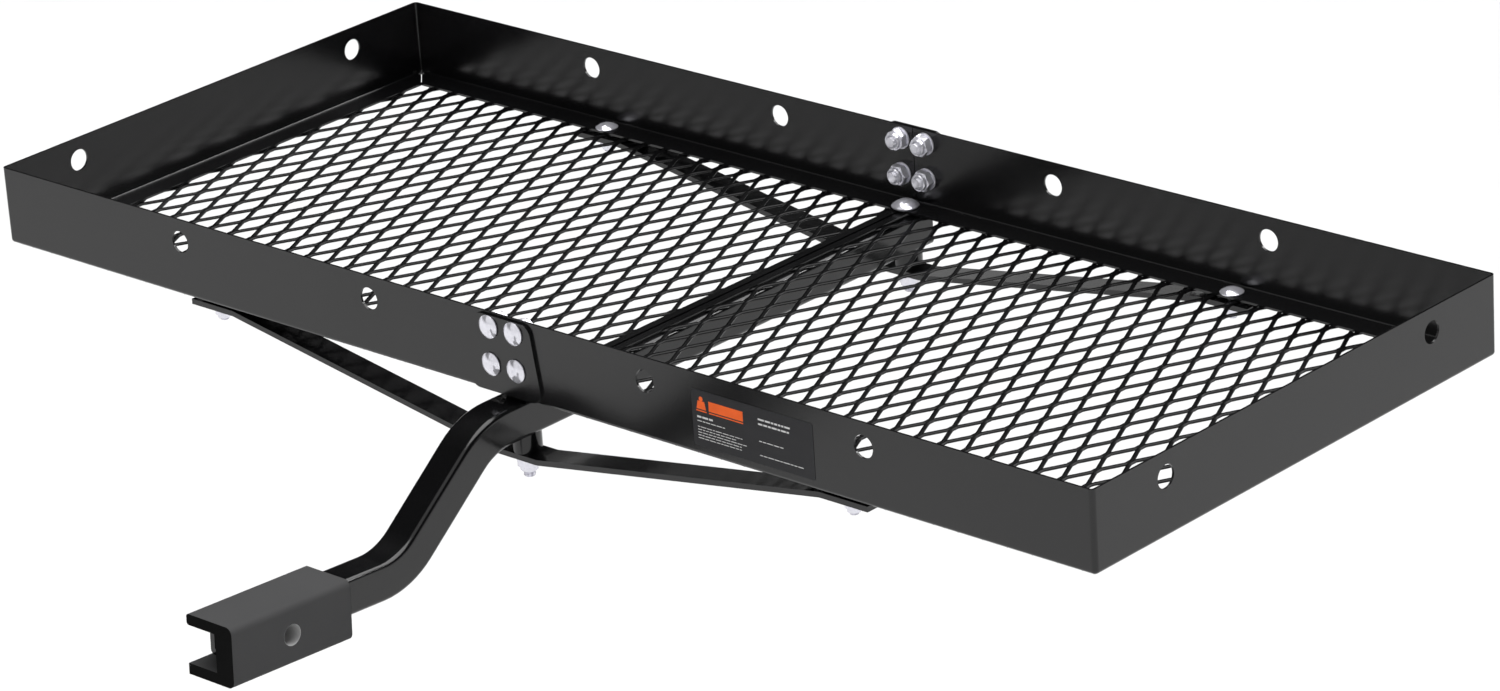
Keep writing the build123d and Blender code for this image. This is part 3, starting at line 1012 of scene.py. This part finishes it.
def nut_mesh(name, flats, hex_height, height, size, sides):
    """A lock nut hanging under z 0: hexagon, crimped collar and a nylon ring round the bore."""
    flat = flats / 2

    def hexagon(angle):
        return flat / math.cos((angle + math.pi / 6) % (math.pi / 3) - math.pi / 6)

    def chamfered(limit):
        return lambda angle: min(hexagon(angle), limit)

    corner = flat / math.cos(math.pi / 6)
    bore = size / 2 - 0.05 * MM
    collar = 0.9 * flat
    lip = 0.66 * flat
    outline = [
        (bore, 0.0),
        (0.94 * flat, 0.0),
        (chamfered(0.98 * flat), -0.15 * MM),
        (chamfered(0.5 * (flat + corner)), -0.6 * MM),
        (hexagon, -1.1 * MM),
        (hexagon, -(hex_height - 1.1 * MM)),
        (chamfered(0.5 * (flat + corner)), -(hex_height - 0.5 * MM)),
        (chamfered(0.97 * flat), -hex_height),
        (collar, -(hex_height + 0.05 * MM)),
        (collar, -(height - 0.9 * MM)),
        (0.95 * collar, -(height - 0.35 * MM)),
        (0.84 * collar, -height),
        (lip, -(height - 0.12 * MM)),
        (lip - 0.1 * MM, -(height - 0.45 * MM)),
        (bore + 0.35 * MM, -(height - 0.3 * MM)),
        (bore, -(height - 0.6 * MM)),
    ]
    mesh = turned_mesh(name, outline, sides, 30, hollow=True)
    # the nylon ring is the two bands of faces that end at the bore
    flag = mesh.attributes.new("nylon", "BOOLEAN", "FACE")
    first, last = 13 * sides, 15 * sides
    flag.data.foreach_set("value", [first <= face < last for face in range(len(mesh.polygons))])
    return mesh


def washer_mesh(name, outer, bore, thickness, sides):
    """A flat washer under z 0 with its edges broken."""
    edge = 0.18 * thickness
    outline = [
        (bore / 2, -edge),
        (bore / 2 + edge, 0.0),
        (outer / 2 - edge, 0.0),
        (outer / 2, -edge),
        (outer / 2, -(thickness - edge)),
        (outer / 2 - edge, -thickness),
        (bore / 2 + edge, -thickness),
        (bore / 2, -(thickness - edge)),
    ]
    return turned_mesh(name, outline, sides, 30, hollow=True)


def placing_tree():
    """Puts one part at every point, turned to face its plate and rolled at random about its own axis."""
    maker = TreeMaker(
        "hardware_row",
        [
            ("Geometry", "NodeSocketGeometry", None),
            ("Part", "NodeSocketObject", None),
            ("Turn", "NodeSocketVector", None),
            ("Roll", "NodeSocketFloat", 0.0),
            ("Seed", "NodeSocketInt", 1),
            ("Plating", "NodeSocketMaterial", None),
            ("Insert", "NodeSocketMaterial", None),
        ],
    )
    value = maker.value
    part = maker.node("GeometryNodeObjectInfo", [("Object", value("Part"))], transform_space="ORIGINAL")
    facing = maker.node("FunctionNodeEulerToRotation", [(0, value("Turn"))])
    placed = maker.node(
        "GeometryNodeInstanceOnPoints",
        [
            ("Points", value("Geometry")),
            ("Instance", part.outputs["Geometry"]),
            ("Rotation", facing.outputs[0]),
        ],
    )
    chance = maker.node("FunctionNodeRandomValue", [("Seed", value("Seed"))], data_type="FLOAT")
    roll = maker.math("MULTIPLY", chance.outputs["Value"], value("Roll"))
    roll_turn = maker.node("FunctionNodeEulerToRotation", [(0, maker.vector(z=roll))])
    rolled = maker.node(
        "GeometryNodeRotateInstances", [("Instances", placed.outputs[0]), ("Rotation", roll_turn.outputs[0])]
    )
    solid = maker.node("GeometryNodeRealizeInstances", [("Geometry", rolled.outputs[0])])
    plating = value("Plating")
    plated = maker.node("GeometryNodeSetMaterial", [("Geometry", solid.outputs[0]), ("Material", plating)])
    ring = maker.node("GeometryNodeInputNamedAttribute", [("Name", "nylon")], data_type="BOOLEAN")
    both = maker.node(
        "GeometryNodeSetMaterial",
        [
            ("Geometry", plated.outputs[0]),
            ("Selection", ring.outputs["Attribute"]),
            ("Material", value("Insert")),
        ],
    )
    return maker.finish(both.outputs[0])


SHEET = 2.0 * MM
LONGEST_THREAD = 24 * MM
DOME_STEPS = 12
RINGS_PER_TURN = 6
# each kind of bolt: thread diameter and pitch, nut across flats and its hexagon's height, washer bore,
# and whether it lies along Y or stands up
BOLT_KINDS = {
    "splice": {"size": 10.0, "pitch": 1.5, "flats": 17.0, "hex": 7.6, "bore": 10.5, "lies": True},
    "centre": {"size": 10.0, "pitch": 1.5, "flats": 17.0, "hex": 7.6, "bore": 10.5, "lies": False},
    "brace": {"size": 8.0, "pitch": 1.25, "flats": 13.0, "hex": 5.8, "bore": 8.4, "lies": False},
}


class FastenerPlace:
    """How one kind of fastener lies at one end of the tray."""

    def __init__(self, end, kind):
        self.facts = BOLT_KINDS[kind]
        lies = self.facts["lies"]
        # the head faces -Y at the front wall, +Y at the rear wall, and +Z on upright bolts
        self.sign = 1.0 if not lies or end == "rear" else -1.0
        self.axis = 1 if lies else 2
        self.turn = (-self.sign * math.pi / 2, 0.0, 0.0) if lies else (0.0, 0.0, 0.0)

    def across(self, low, high):
        return [high[i] - low[i] for i in range(3) if i != self.axis]

    def outer_side(self, span):
        """The side of a span that faces the head."""
        return max(span) if self.sign > 0 else min(span)


def kind_node(end, kind, part):
    """The CAD node of a fastener part: one piece has a singular name."""
    plural = f"{end}_{kind}_{part}"
    return plural if plural in frame["nodes"] else plural.removesuffix("s")


def cad_islands(node):
    """Low and high corners of each separate solid of a CAD node."""
    bm = bmesh.new()
    bm.from_mesh(frame["nodes"][node].data)
    bmesh.ops.remove_doubles(bm, verts=bm.verts, dist=1e-6)
    seen = set()
    boxes = []
    for vertex in bm.verts:
        if vertex in seen:
            continue
        stack = [vertex]
        seen.add(vertex)
        island = []
        while stack:
            here = stack.pop()
            island.append(here.co)
            for edge in here.link_edges:
                other = edge.other_vert(here)
                if other not in seen:
                    seen.add(other)
                    stack.append(other)
        low = Vector([min(p[i] for p in island) for i in range(3)])
        high = Vector([max(p[i] for p in island) for i in range(3)])
        boxes.append((low, high))
    bm.free()
    return boxes


def place_hardware(part, end, kind, tree, materials, settings):
    """Builds the bolts, washers or nuts of one kind at one end of the tray, where the CAD has them."""
    place = FastenerPlace(end, kind)
    node = kind_node(end, kind, part)
    boxes = cad_islands(node)
    facts = place.facts
    axis = place.axis
    size = facts["size"] * MM
    low, high = boxes[0]
    height = high[axis] - low[axis]
    width = max(place.across(low, high))
    start = place.outer_side((low[axis], high[axis]))
    name = node + "_one"
    sides = settings.sides
    if part == "bolts":
        # the head's height is what stands out of the face that it sits on
        seat = seat_of(end, kind, place)
        head_height = abs(start - seat)
        start = seat
        length = height - head_height
        threaded = min(length * 0.62, LONGEST_THREAD)
        mesh = bolt_mesh(name, width, head_height, size, facts["pitch"] * MM, length, threaded, sides)
        roll = 2 * math.pi
    elif part == "nuts":
        mesh = nut_mesh(name, facts["flats"] * MM, facts["hex"] * MM, height, size, sides)
        roll = math.pi / 3
    else:
        mesh = washer_mesh(name, width, facts["bore"] * MM, height, sides)
        roll = 0.0
    points = []
    for low, high in boxes:
        point = (low + high) / 2
        point[axis] = start
        points.append(tuple(point))
    points.sort()
    prototype = mesh_object(name, mesh)
    seed_mesh = bpy.data.meshes.new("seed")
    seed_mesh.from_pydata(points, [], [])
    source = mesh_object("seed", seed_mesh)
    inputs = {
        "Part": prototype,
        "Turn": place.turn,
        "Roll": roll,
        "Seed": settings.roll_seed,
        "Plating": materials["plating"],
        "Insert": materials["insert"],
    }
    result = realised(source, tree, inputs, node + "_detailed")
    bpy.data.objects.remove(source)
    bpy.data.objects.remove(prototype)
    piece = mesh_object(node + "_detailed", result)
    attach(piece, CARRIER)
    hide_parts(node)


def seat_of(end, kind, place):
    """The face that the bolt heads rest on."""
    if kind == "splice":
        return place.outer_side([corner[1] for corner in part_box(f"{end}_splice_plate")])
    # upright bolts sit on the flange, whose top is one sheet above the mesh deck
    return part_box("right_mesh_deck")[1].z + SHEET


class CARRIER_OT_hardware(bpy.types.Operator):
    """Build the bolts, washers and lock nuts"""

    bl_idname = "carrier.hardware"
    bl_label = "Bolts, washers and nuts"

    def execute(self, context):
        settings = context.scene.carrier.hardware
        tree = placing_tree()
        materials = {
            "plating": zinc_plate("bright_zinc", settings),
            "insert": nylon("nylon_insert"),
        }
        for end in ENDS:
            for kind in BOLT_KINDS:
                for part in ("bolts", "washers", "nuts"):
                    place_hardware(part, end, kind, tree, materials, settings)
        return {"FINISHED"}


# ---------------------------------------------------------------- label


# rows of print, in mm: left and right edge, drop of the first row, rows, row gap and row thickness
RULE_ROWS = (
    (5, 26, 22, 1, 2, 1.6),
    (5, 40, 26, 1, 2, 0.7),
    (5, 62, 31, 5, 2.4, 0.6),
    (70, 112, 9, 2, 4, 1.5),
    (70, 100, 28, 1, 2, 0.7),
    (70, 118, 40, 1, 2, 0.7),
)
RULES_SEED = 11


def slab(bm, outline, near, far):
    """A thin closed plate of a label print: outline in x and z, from y near to y far."""
    front = [bm.verts.new((x, near, z)) for x, z in outline]
    back = [bm.verts.new((x, far, z)) for x, z in outline]
    bm.faces.new(front)
    bm.faces.new(back[::-1])
    count = len(outline)
    for i in range(count):
        j = (i + 1) % count
        bm.faces.new((front[j], front[i], back[i], back[j]))


def bar(x0, z0, x1, z1):
    """Corners of an upright rectangle."""
    return [(x0, z0), (x1, z0), (x1, z1), (x0, z1)]


def printed(name, outlines, label_face, height, material):
    """Prints outlines on the label's face as one piece."""
    bm = bmesh.new()
    for outline in outlines:
        slab(bm, outline, label_face - height, label_face + 0.5 * height)
    bmesh.ops.recalc_face_normals(bm, faces=bm.faces)
    mesh = bpy.data.meshes.new(name)
    bm.to_mesh(mesh)
    bm.free()
    mesh.materials.append(material)
    piece = mesh_object(name, mesh)
    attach(piece, CARRIER)


def rule_rows(x0, x1, top, rows, gap, thick, chance):
    """Rows of short dashes, each row a different length."""
    outlines = []
    for row in range(rows):
        z = top - gap * row
        x = x0
        end = x0 + (x1 - x0) * chance.uniform(0.75, 1.0)
        while x < end - 2.0 * MM:
            width = min(chance.uniform(2.0, 6.5) * MM, end - x)
            outlines.append(bar(x, z - thick, x + width, z))
            x += width + 0.9 * MM
    return outlines


class CARRIER_OT_label(bpy.types.Operator):
    """Print the generic rating label: a weight pictogram, a band and plain rules, with no lettering"""

    bl_idname = "carrier.label"
    bl_label = "Rating label"

    def execute(self, context):
        label = context.scene.carrier.label
        paint_nodes(("rating_label",), film("label_film_black", FILM_BLACK, 0.38))
        low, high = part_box("rating_label")
        left, face, top = low.x, low.y, high.z
        accent = film("label_accent", tuple(label.accent), 0.4)
        ink = film("label_ink", tuple(label.ink), 0.45)
        # the pictogram: a trapezoid weight with a round eye above a bar, then a plain band over a rule
        x, z = left + 5 * MM, top - 5 * MM
        corners = ((1.5, -4), (8.5, -4), (10, -11), (0, -11))
        weight = [(x + right * MM, z + up * MM) for right, up in corners]
        turns = [2 * math.pi * i / 20 for i in range(20)]
        eye = [(x + (5 + 2 * math.cos(a)) * MM, z + (-2.2 + 2 * math.sin(a)) * MM) for a in turns]
        sizes = ((-0.5, -13, 10.5, -12), (13, -11, 49, -2.5), (13, -13, 49, -12))
        bars = [bar(x + x0 * MM, z + z0 * MM, x + x1 * MM, z + z1 * MM) for x0, z0, x1, z1 in sizes]
        printed("label_pictogram", [weight, eye] + bars, face, label.print_height, accent)
        chance = random.Random(RULES_SEED)
        rules = []
        for x0, x1, drop, rows, gap, thick in RULE_ROWS:
            span = (left + x0 * MM, left + x1 * MM)
            rules += rule_rows(*span, top - drop * MM, rows, gap * MM, thick * MM, chance)
        printed("label_rules", rules, face, label.print_height, ink)
        return {"FINISHED"}


# ---------------------------------------------------------------- panel and registration


class CARRIER_PT_panel(bpy.types.Panel):
    """The carrier's building steps"""

    bl_label = "Cargo carrier"
    bl_idname = "CARRIER_PT_panel"
    bl_space_type = "VIEW_3D"
    bl_region_type = "UI"
    bl_category = "Carrier"

    def draw(self, context):
        column = self.layout.column()
        for step in STEPS:
            column.operator(step.bl_idname)


STEPS = (
    CARRIER_OT_stage,
    CARRIER_OT_tray_paint,
    CARRIER_OT_steel_paint,
    CARRIER_OT_mesh_decks,
    CARRIER_OT_hardware,
    CARRIER_OT_label,
)
CLASSES = (
    CarrierStageSettings,
    CarrierPaintSettings,
    CarrierMeshSettings,
    CarrierHardwareSettings,
    CarrierLabelSettings,
    CarrierSettings,
    *STEPS,
    CARRIER_PT_panel,
)


def register():
    for made in CLASSES:
        bpy.utils.register_class(made)
    bpy.types.Scene.carrier = PointerProperty(type=CarrierSettings)


def unregister():
    del bpy.types.Scene.carrier
    for made in reversed(CLASSES):
        bpy.utils.unregister_class(made)


def main():
    register()
    bpy.ops.carrier.stage()
    bpy.ops.carrier.tray_paint()
    bpy.ops.carrier.steel_paint()
    bpy.ops.carrier.mesh_decks()
    bpy.ops.carrier.hardware()
    bpy.ops.carrier.label()


if __name__ == "__main__":
    main()
